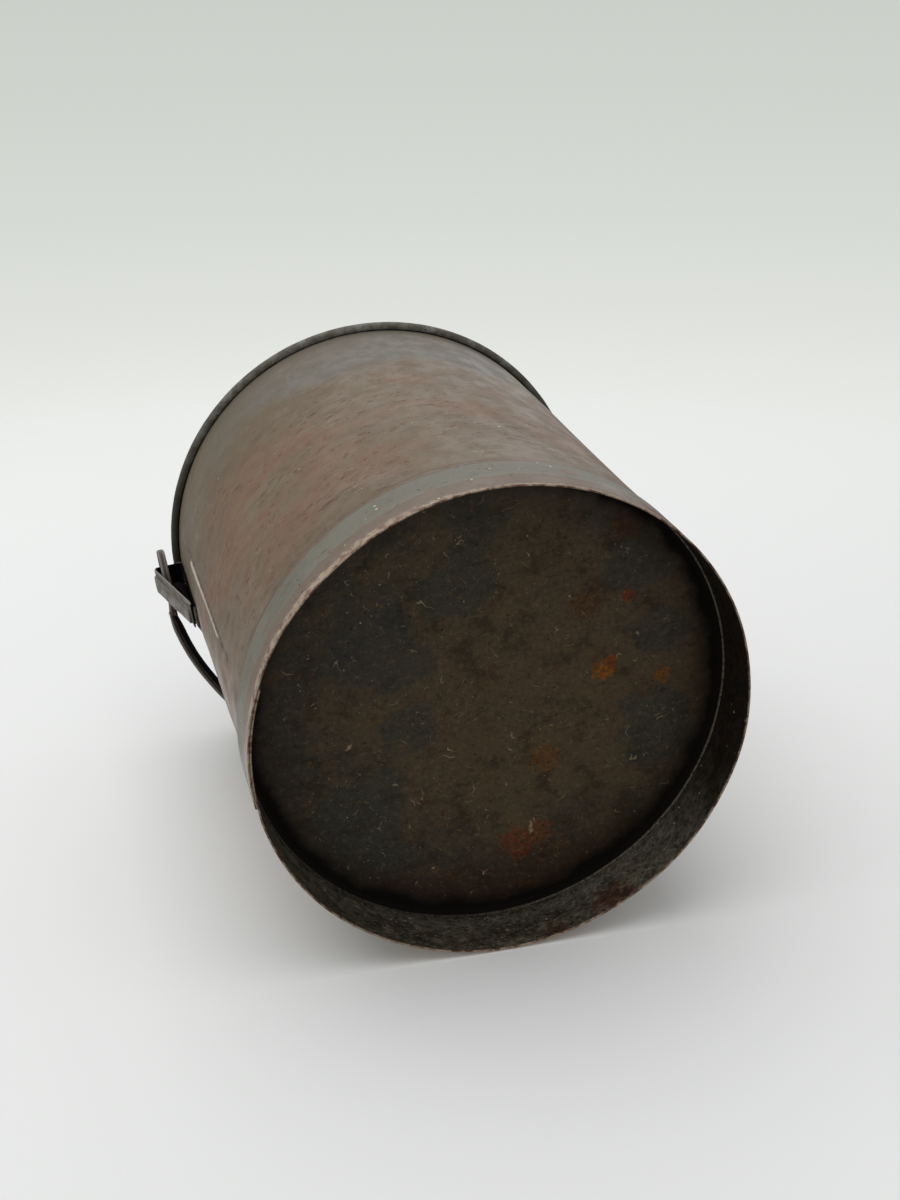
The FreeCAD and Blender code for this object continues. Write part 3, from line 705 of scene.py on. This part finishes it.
def make_foot():
    """The foot ring: one strip round the wrap's lower end, lapped on the left, its lower edge uneven."""
    thin = SHEET * 0.94
    low = arc((FOOT_RADIUS - thin / 2, thin / 2), thin / 2, -math.pi, 0, 9)
    outer = even([(FOOT_RADIUS, thin / 2), (FOOT_RADIUS, FOOT_HEIGHT)], 0.6)[1:]
    inner = even([(FOOT_RADIUS - thin, FOOT_HEIGHT), (FOOT_RADIUS - thin, thin / 2)], 0.6)[:-1]
    outline = np.concatenate([low, outer, inner])
    start = FOOT_LAP_START
    angles = np.radians(np.linspace(start, start + 360 + FOOT_LAP_SPAN, 900))
    edge_waves = waver(12, 16, 50)
    side_waves = waver(17, 12, 30)

    def shift(angle, radius, height):
        past = np.degrees(angle) - start
        free = smooth(height, 15.5, 4)
        top = FOOT_HEIGHT - (FOOT_HEIGHT - FOOT_LAP_HEIGHT) * smooth(past, 360.3, 361.5)
        lap = 0.30 * smooth(past, 62, 26) - 0.26 * smooth(past, 356.5, 360)
        ridge = 0.05 * np.exp(-((height - 8.6) / 1.1) ** 2)
        around = np.degrees(angle) % 360
        sag = np.exp(-((around - 108) / 20) ** 2)
        lifted = 0.30 + 0.16 * edge_waves(angle, 0) - 0.34 * sag
        moved = radius + lap + ridge + free * 0.13 * side_waves(angle, height)
        return moved, height * top / FOOT_HEIGHT + lifted * smooth(height, 12, 0)

    points, faces = turned(outline, angles, shift, closed=False)
    columns = len(outline)
    column = np.arange(len(points)) % columns
    row = np.arange(len(points)) // columns
    wear_and_painted_light = np.where(column < len(low), 1.0, 0.0)
    wear_and_painted_light = np.maximum(wear_and_painted_light, np.where((row < 2) | (row > len(angles) - 3), 1.0, 0.0))
    numbers = material_numbers(faces, (column >= len(low) + len(outer)) | (column < 3))
    make_piece("foot_skirt", "pail", [(points, faces, wear_and_painted_light, numbers)],
               [foot_outside, foot_inside], ["foot_ring"])


def make_bottom():
    """The pan: its floor a little uneven, and its flange turned down and out under the wrap's end."""
    lip_outside = FOOT_RADIUS - SHEET - 0.06
    under = rounded([(0.6, PAN_UNDER), (PAN_OUTSIDE - SHEET, PAN_UNDER), (PAN_OUTSIDE - SHEET, 17.1),
                     (lip_outside - 0.42, 16.6), (lip_outside - 0.42, PAN_LOW)], [0.4, 0.3, 0.3], 6)
    over = rounded([(lip_outside, PAN_LOW), (lip_outside, 17.0), (PAN_OUTSIDE, 17.35),
                    (PAN_OUTSIDE, PAN_UNDER + SHEET), (0.6, PAN_UNDER + SHEET)], [0.2, 0.2, 0.95], 6)
    under = even(under, 1.2)
    over = even(over, 1.2)
    outline = np.concatenate([under, over])
    angles = np.linspace(0, 2 * math.pi, 361)[:-1]
    hollows = waver(23, 5, 60)
    fine = waver(29, 9, 25)
    lip_waves = waver(33, 24, 20)

    def shift(angle, radius, height):
        away = smooth(radius, 62.5, 52) * smooth(radius, 0.0, 14)
        uneven = 0.16 * hollows(angle, radius) + 0.06 * fine(angle, radius)
        lip = smooth(height, 16.6, PAN_LOW) * (0.25 + 0.22 * lip_waves(angle, 0))
        return radius, height + away * uneven + lip

    points, faces = turned(outline, angles, shift)
    columns = len(outline)
    column = np.arange(len(points)) % columns
    faces = [face for face in faces if {face[0] % columns, face[1] % columns} != {0, columns - 1}]
    faces.append([row * columns for row in range(len(angles))])
    faces.append([row * columns + columns - 1 for row in range(len(angles))])
    # The upper line's first points run up the outside of the flange, which looks like the underside.
    flange_points = 20
    numbers = material_numbers(faces, column > len(under) + flange_points)
    on_lip = outline[:, 1] < PAN_LOW + 0.05
    wear_and_painted_light = np.where(on_lip[column], 1.0, 0.0)
    make_piece("bottom", "pail", [(points, faces, wear_and_painted_light, numbers)], [under_pan, inside],
               ["bottom_pan"])


def turn_about_z(points, side):
    """The right-hand shape as it is, or turned half round for the left, and moved to the ear's place."""
    return points * (side, side, 1) + (0, EAR_SHIFT, 0)


def make_ears():
    """The ears: hemmed straps, bent out, round the nose and back down the wall as a brace."""
    half = EAR_WIDTH / 2
    tab_low, tab_high = (65.42, 107.9), (65.62, 142.75)
    brace_low, brace_high = (66.2, 111.8), (73.4, 141.2)
    path = even(rounded([tab_low, tab_high, (brace_high[0], tab_high[1]), brace_high, brace_low,
                         (66.0, 109.3)], [0.5, 0.8, 0.6, 2.0], 7), 0.3)
    travel_end = float(np.sum(np.linalg.norm(np.diff(path, axis=0), axis=1)))
    leg_start = tab_high[1] - tab_low[1]
    nose = leg_start + 7.4
    flap_start = leg_start + 1.5
    widths = np.linspace(-half, half, 41)
    flap_edge = half - EAR_FLAP
    flap_middle = EAR_FLAP / 2 - half
    wobble = waver(31, 3, 20)

    def under(travel, across):
        corner = smooth(np.abs(across), half - 0.1, half)
        return 0.06 * corner + 0.05 * wobble(across / 4, travel)

    def over(travel, across):
        edge = flap_edge + 0.25 * wobble(0.7, travel)
        flap = smooth(-across, edge - 0.05, edge + 0.07)
        end = travel_end - 2.4 - 0.35 * np.maximum(np.abs(across - flap_middle) - 0.6, 0) ** 2
        flap = flap * smooth(travel, flap_start, flap_start + 0.15) * smooth(travel, end, end - 0.15)
        bulge = 0.10 * flap * (1 - ((across - flap_middle) / (EAR_FLAP / 2)) ** 2)
        corner = smooth(np.abs(across), half - 0.25, half)
        return SHEET * (1 + flap) + bulge - 0.2 * corner + 0.05 * wobble(across / 4, travel)

    points, faces = strip(path, widths, under, over)
    columns = 2 * len(widths)
    column = np.arange(len(points)) % columns
    width = np.concatenate([widths, widths[::-1]])[column]
    steps = np.concatenate([[0], np.cumsum(np.linalg.norm(np.diff(path, axis=0), axis=1))])
    travel = steps[np.arange(len(points)) // columns]
    on_edge = np.abs(width) > half - 0.25
    beside_flap = (np.abs(-width - flap_edge) < 0.22) & (column >= len(widths))
    wear_and_painted_light = np.where(on_edge, 0.9, np.where(beside_flap, 0.7, 0.0))
    # The tab, the upper leg and the brace's end are marked for painted shade.
    wear_and_painted_light = np.where((travel < nose) | (travel > travel_end - 0.3), -1.0, wear_and_painted_light)
    # Faces towards the wall, the tab and the leg take the painted-shade finish.
    numbers = material_numbers(faces, (column < len(widths)) | (travel < nose - 0.6))

    # A dark filler in the fold between the tab and the brace is painted shade.
    fold = []
    for height in np.linspace(110.5, 131.5, 43):
        brace = np.interp(height, [brace_low[1], brace_high[1]], [brace_low[0], brace_high[0]])
        sag = 1 - 0.30 * smooth(height, 126, 132)
        turn = np.linspace(0, 2 * math.pi, 17)[:-1]
        reach = max(brace - 65.5, 0.5) / 2 + 0.12
        fold.append(np.stack([65.4 + reach + reach * np.cos(turn), (half - 0.5) * sag * np.sin(turn),
                              height + 0.3 * wobble(turn, height)], 1))
    painted_shade_part, painted_shade_faces = lofted(fold)
    painted_shade_marks = [-1.0] * len(painted_shade_part)
    painted_shade_numbers = [1] * len(painted_shade_faces)
    for name, side in (("right", 1), ("left", -1)):
        strap = (turn_about_z(points, side), faces, wear_and_painted_light, numbers)
        filling = (turn_about_z(painted_shade_part, side), painted_shade_faces, painted_shade_marks, painted_shade_numbers)
        make_piece(f"ear_{name}_strap", "pail", [strap, filling], [ear_metal, ear_painted_shade],
                   [f"ear_{name}"])
        for level, seed, place, across, up, finish in (
                ("upper", 41, (65.9, 144.1), (1.15, 0, 0.4), (-0.3, 0, 1.05), solder_metal),
                ("lower", 47, (65.15, 108.2), (0.62, 0, 0), (0, 0, 1.5), dark_solder)):
            lumps = waver(seed + side, 9, 4)
            line = [(place[0], y, place[1]) for y in np.linspace(-half + 0.2, half - 0.2, 40)]
            run = bead(line, np.array(across), np.array(up), lumps)
            make_piece(f"ear_{name}_{level}_fillet", "pail",
                       [(turn_about_z(run[0], side), run[1])], [finish],
                       [f"ear_{name}_{level}_solder"], crease=60)


def make_solder():
    """The solder along the foot's top, in the pan's corner and on the two upright seams."""
    angles = np.linspace(0, 2 * math.pi, 721)[:-1]
    for name, node, base, legs, seed in (
            ("foot_fillet", "foot_solder", (64.44, 18.4), (0.5, 2.2), 51),
            ("bottom_fillet", "bottom_solder", (64.02, 18.46), (-1.1, 1.1), 57)):
        lumps = waver(seed, 90, 10)
        slow = waver(seed + 1, 14, 10)
        run = arc((1, 1), 1, -math.pi / 2, -math.pi, 9) * 0.94
        outline = np.concatenate([[(0, 0)], run]) * legs + base

        def shift(angle, radius, height):
            size = 1 + 0.16 * lumps(angle, 0) + 0.22 * slow(angle, 0)
            return base[0] + (radius - base[0]) * np.minimum(size, 1.12), base[1] + (height - base[1]) * size

        points, faces = turned(outline, angles, shift)
        make_piece(name, "pail", [(points, faces)], [solder_metal], [node], crease=60)
    for name, node, degrees, heights, radii, half_width, lumps in (
            ("body_seam_run", "body_seam_solder", SEAM_END + 0.42, np.linspace(43.5, 142, 160),
             (63.98, 65.0), 0.42, waver(61, 30, 4)),
            ("foot_seam_run", "foot_seam_solder", FOOT_LAP_START + FOOT_LAP_SPAN + 0.35,
             np.linspace(1.2, 14.2, 40), (64.45, 64.45), 0.45, waver(67, 20, 4))):
        seam = math.radians(degrees)
        outward = np.array([math.cos(seam), math.sin(seam), 0])
        sideways = np.array([-math.sin(seam), math.cos(seam), 0])
        distances = np.interp(heights, [WALL_WAIST[1], WALL_TOP], radii)
        line = [outward * radius + (0, 0, height) for height, radius in zip(heights, distances)]
        run = bead(line, sideways * half_width, outward * 0.22, lumps)
        make_piece(name, "pail", [run], [solder_metal], [node], crease=60)


def hang(points):
    """Points of the bail drawn level about the hinge line, as it hangs at rest."""
    cos, sin = math.cos(-REST_DROP), math.sin(-REST_DROP)
    x, y, z = points[:, 0], points[:, 1], points[:, 2]
    return np.stack([x, y * cos - z * sin, y * sin + z * cos + HINGE_HEIGHT], 1)


def make_bail():
    """The bail: a strip folded to a channel, narrowed to necks whose ends roll into wide eyes."""
    half_width = STRIP_WIDTH / 2
    half_depth = STRIP_DEPTH / 2
    lip = 0.95
    wall = 0.45
    section = rounded([
        (half_width, 0.0), (half_width, -half_depth), (half_width - lip, -half_depth),
        (half_width - lip, half_depth - wall), (-half_width + wall, half_depth - wall),
        (-half_width + wall, -half_depth), (-half_width, -half_depth), (-half_width, half_depth),
        (half_width, half_depth), (half_width, 0.001),
    ], [0.35, 0.35, 0.2, 0.2, 0.15, 0.15, 0.35, 0.35], 5)
    section = even(section, 0.45)
    wobble = waver(71, 25, 30)
    rings = []
    for turn in np.radians(np.linspace(-ARCH_HALF_ANGLE, ARCH_HALF_ANGLE, 260)):
        outward = np.array([math.sin(turn), math.cos(turn), 0])
        thin = 1 - 0.34 * smooth(abs(math.degrees(turn)), ARCH_HALF_ANGLE - 5, ARCH_HALF_ANGLE)
        centre = outward * (ARCH_RADIUS + 0.10 * wobble(turn, 0))
        centre = centre + (0, ARCH_OFFSET, 0.05 * wobble(turn + 2, 0))
        rings.append(centre + section[:, :1] * thin * outward + section[:, 1:] * (0, 0, thin))
    points, faces = lofted(rings)
    # The outer lip is marked light, as rubbed metal and a painted highlight; the inner side is marked for
    # painted shade.
    edge = (section[:, 1] < -0.2) & (section[:, 0] > half_width - lip - 0.05)
    painted_shade_part = section[:, 0] < 0
    wear_and_painted_light = np.where(edge, 1.0, np.where(painted_shade_part, -1.0, 0.0))
    parts = [(hang(points), faces, np.tile(wear_and_painted_light, len(rings)))]

    flat = rounded([
        (0.0, 0.35), (1.0, 0.35), (1.0, -0.35), (-1.0, -0.35), (-1.0, 0.35), (-0.001, 0.35),
    ], [0.55, 0.12, 0.12, 0.55], 7)
    flat = np.concatenate([flat[:1], [(0.25, 0.35), (0.42, 0.35)], flat[1:-1],
                           [(-0.42, 0.35), (-0.25, 0.35)]])
    in_middle = (flat[:, 1] > 0.3) & (np.abs(flat[:, 0]) < 0.3)
    flat_wear = np.where(in_middle, -0.3, np.where(flat[:, 1] > 0, 0.8, 0.0))
    for side in (-1, 1):
        rings = []
        for turn in np.radians(np.linspace(-6, 340, 150)):
            outward = np.array([0, math.cos(turn), math.sin(turn)])
            centre = np.array([side * EYE_MIDDLE, 0.9 * math.cos(turn) - 0.9, 0])
            centre = centre + outward * EYE_RADIUS
            rings.append(centre + flat[:, :1] * (1.2, 0, 0) + flat[:, 1:] * 1.3 * outward)
        points, faces = lofted(rings)
        parts.append((hang(points), faces, np.tile(flat_wear, len(rings))))
        rings = []
        for share in np.linspace(0, 1, 24):
            y = EYE_RADIUS + (NECK_LENGTH + 0.9 - EYE_RADIUS) * share
            widen = smooth(share, 0.1, 0.9)
            centre = np.array([side * (EYE_MIDDLE + 0.3 * widen), y, 0])
            rings.append(centre + flat[:, :1] * (1.15 + 0.1 * widen, 0, 0)
                         + flat[:, 1:] * (0, 0, -1.5 - 0.1 * widen))
        points, faces = lofted(rings)
        parts.append((hang(points), faces, np.tile(flat_wear, len(rings))))
    make_piece("bail_strip", "bail", parts, [bail_metal], ["bail"], crease=50)


make_wrap()
make_foot()
make_bottom()
make_ears()
make_solder()
make_bail()
for material_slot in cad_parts["rim_wire"].material_slots:
    material_slot.material = wire_metal


def floor_patch(name, place, up, below_only):
    """A round piece of pale floor that shows from above only and fades into the backdrop.

    It takes shadows but throws no light back. One that is below_only shows where the upright floor is
    between it and the camera, or where it lies under that floor."""
    side = up.orthogonal().normalized()
    ahead = up.cross(side)
    rings = np.linspace(0, 1.0, 41)
    sides = 96
    points = []
    for ring in rings:
        for turn in np.linspace(0, 2 * math.pi, sides + 1)[:-1]:
            points.append(place + (side * math.cos(turn) + ahead * math.sin(turn)) * (ring + 0.001))
    faces = grid_faces(len(rings), sides, False, True)
    faces.append(list(range(sides - 1, -1, -1)))
    mesh = bpy.data.meshes.new(name)
    mesh.from_pydata([tuple(point) for point in points], [], faces)
    if mesh.polygons[0].normal.dot(up) < 0:
        mesh.flip_normals()
    g = Graph(name)
    speckle = g.noise(60, seed=5.0, detail=2)
    tones = []
    for shares in ((0.985, 1, 0.99), (0.995, 1.005, 0.995)):
        tones.append((*[FLOOR_BRIGHTNESS * share for share in shares], 1))
    tone = g.mix(speckle, *tones)
    diffuse = g.add("ShaderNodeBsdfDiffuse", {}, {"Color": tone})
    clear = g.add("ShaderNodeBsdfTransparent", {}, {})
    geometry = g.add("ShaderNodeNewGeometry", {}, {})
    away = g.vector("DISTANCE", g.place, tuple(place / MM))
    cover = g.times(g.ease(away, 620, 230), g.math("SUBTRACT", 1.0, geometry.outputs["Backfacing"]))
    if below_only:
        path = g.add("ShaderNodeLightPath", {}, {})
        through = g.math("GREATER_THAN", path.outputs["Transparent Depth"], 0.5)
        under = g.math("LESS_THAN", g.z, UPRIGHT_FLOOR_HEIGHT - 0.02)
        cover = g.times(cover, g.math("MAXIMUM", through, under))
    both = g.add("ShaderNodeMixShader", {}, {0: cover, 1: clear.outputs[0], 2: diffuse.outputs[0]})
    g.join(g.tree.nodes["Material Output"].inputs["Surface"], both.outputs[0])
    mesh.materials.append(g.material)
    floor = bpy.data.objects.new(name, mesh)
    scene.collection.objects.link(floor)
    floor.visible_diffuse = False
    floor.visible_glossy = False
    floor.visible_transmission = False
    floor.visible_shadow = False


lying_place = MIDDLE - LYING_UP * (MIDDLE - LYING_CONTACT).dot(LYING_UP)
floor_patch("lying_floor", lying_place, LYING_UP, True)
floor_patch("upright_floor", Vector((0, 0, UPRIGHT_FLOOR_HEIGHT)) * MM, Vector((0, 0, 1)), False)


def make_world():
    """A pale studio: what the camera sees behind the floor, and a soft light from all round."""
    world = bpy.data.worlds.new("studio")
    scene.world = world
    world.use_nodes = True
    tree = world.node_tree
    nodes = tree.nodes
    links = tree.links
    background = nodes["Background"]
    coordinates = nodes.new("ShaderNodeTexCoord")
    rise = nodes.new("ShaderNodeVectorMath")
    rise.operation = "DOT_PRODUCT"
    links.new(coordinates.outputs["Generated"], rise.inputs[0])
    rise.inputs[1].default_value = LYING_UP
    shares = nodes.new("ShaderNodeMapRange")
    links.new(rise.outputs["Value"], shares.inputs[0])
    ramp_low = -0.75
    ramp_high = 0.25
    shares.inputs[1].default_value = ramp_low
    shares.inputs[2].default_value = ramp_high
    seen = nodes.new("ShaderNodeValToRGB")
    links.new(shares.outputs[0], seen.inputs[0])
    stops = [
        (-0.67, (229, 232, 229)), (-0.50, (231, 234, 231)), (-0.36, (243, 246, 243)),
        (-0.26, (229, 231, 226)), (-0.16, (213, 217, 211)), (-0.04, (202, 206, 200)), (0.1, (196, 200, 194)),
    ]
    ramp = seen.color_ramp
    ramp.interpolation = "B_SPLINE"
    while len(ramp.elements) < len(stops):
        ramp.elements.new(0.5)
    for element, (height, tint) in zip(ramp.elements, stops):
        element.position = (height - ramp_low) / (ramp_high - ramp_low)
        element.color = paint(*tint)
    ambient = nodes.new("ShaderNodeMapRange")
    links.new(rise.outputs["Value"], ambient.inputs[0])
    for socket, value in enumerate((-1.0, 1.0, 0.34, 0.62), 1):
        ambient.inputs[socket].default_value = value
    grey = nodes.new("ShaderNodeCombineColor")
    for socket in range(3):
        links.new(ambient.outputs[0], grey.inputs[socket])
    path = nodes.new("ShaderNodeLightPath")
    choose = nodes.new("ShaderNodeMix")
    choose.data_type = "RGBA"
    links.new(path.outputs["Is Camera Ray"], choose.inputs[0])
    links.new(grey.outputs[0], choose.inputs[6])
    links.new(seen.outputs[0], choose.inputs[7])
    links.new(choose.outputs[2], background.inputs["Color"])


def soft_light(name, direction, distance, size, power):
    """A square soft box that faces the pail from a direction."""
    data = bpy.data.lights.new(name, "AREA")
    data.size = size
    data.energy = power
    lamp = bpy.data.objects.new(name, data)
    scene.collection.objects.link(lamp)
    direction = Vector(direction).normalized()
    lamp.location = MIDDLE + direction * distance
    lamp.rotation_euler = direction.to_track_quat("Z", "Y").to_euler()


make_world()
soft_light("key", LYING_UP + Vector((-0.22, 0, 0)), 1.1, 1.3, 8.3)
soft_light("back", (-0.2, 0.85, 0.75), 1.2, 1.0, 6.0)
soft_light("top", (0.3, -0.25, 1.0), 1.2, 1.0, 3.5)
soft_light("side", (-0.95, -0.15, 0.1), 1.2, 0.9, 3.4)

camera = bpy.data.objects.new("camera", bpy.data.cameras.new("camera"))
scene.collection.objects.link(camera)
camera.data.sensor_width = 36
camera.data.lens = CAMERA_LENS
camera.data.clip_start = 0.01
camera_back = CAMERA_RIGHT.cross(CAMERA_UP)
axes = Matrix((CAMERA_RIGHT, CAMERA_UP, camera_back)).transposed().to_4x4()
camera.matrix_world = Matrix.Translation(CAMERA_PLACE) @ axes
bpy.context.scene.camera = camera
scene.view_settings.view_transform = "Standard"

bpy.context.view_layer.update()
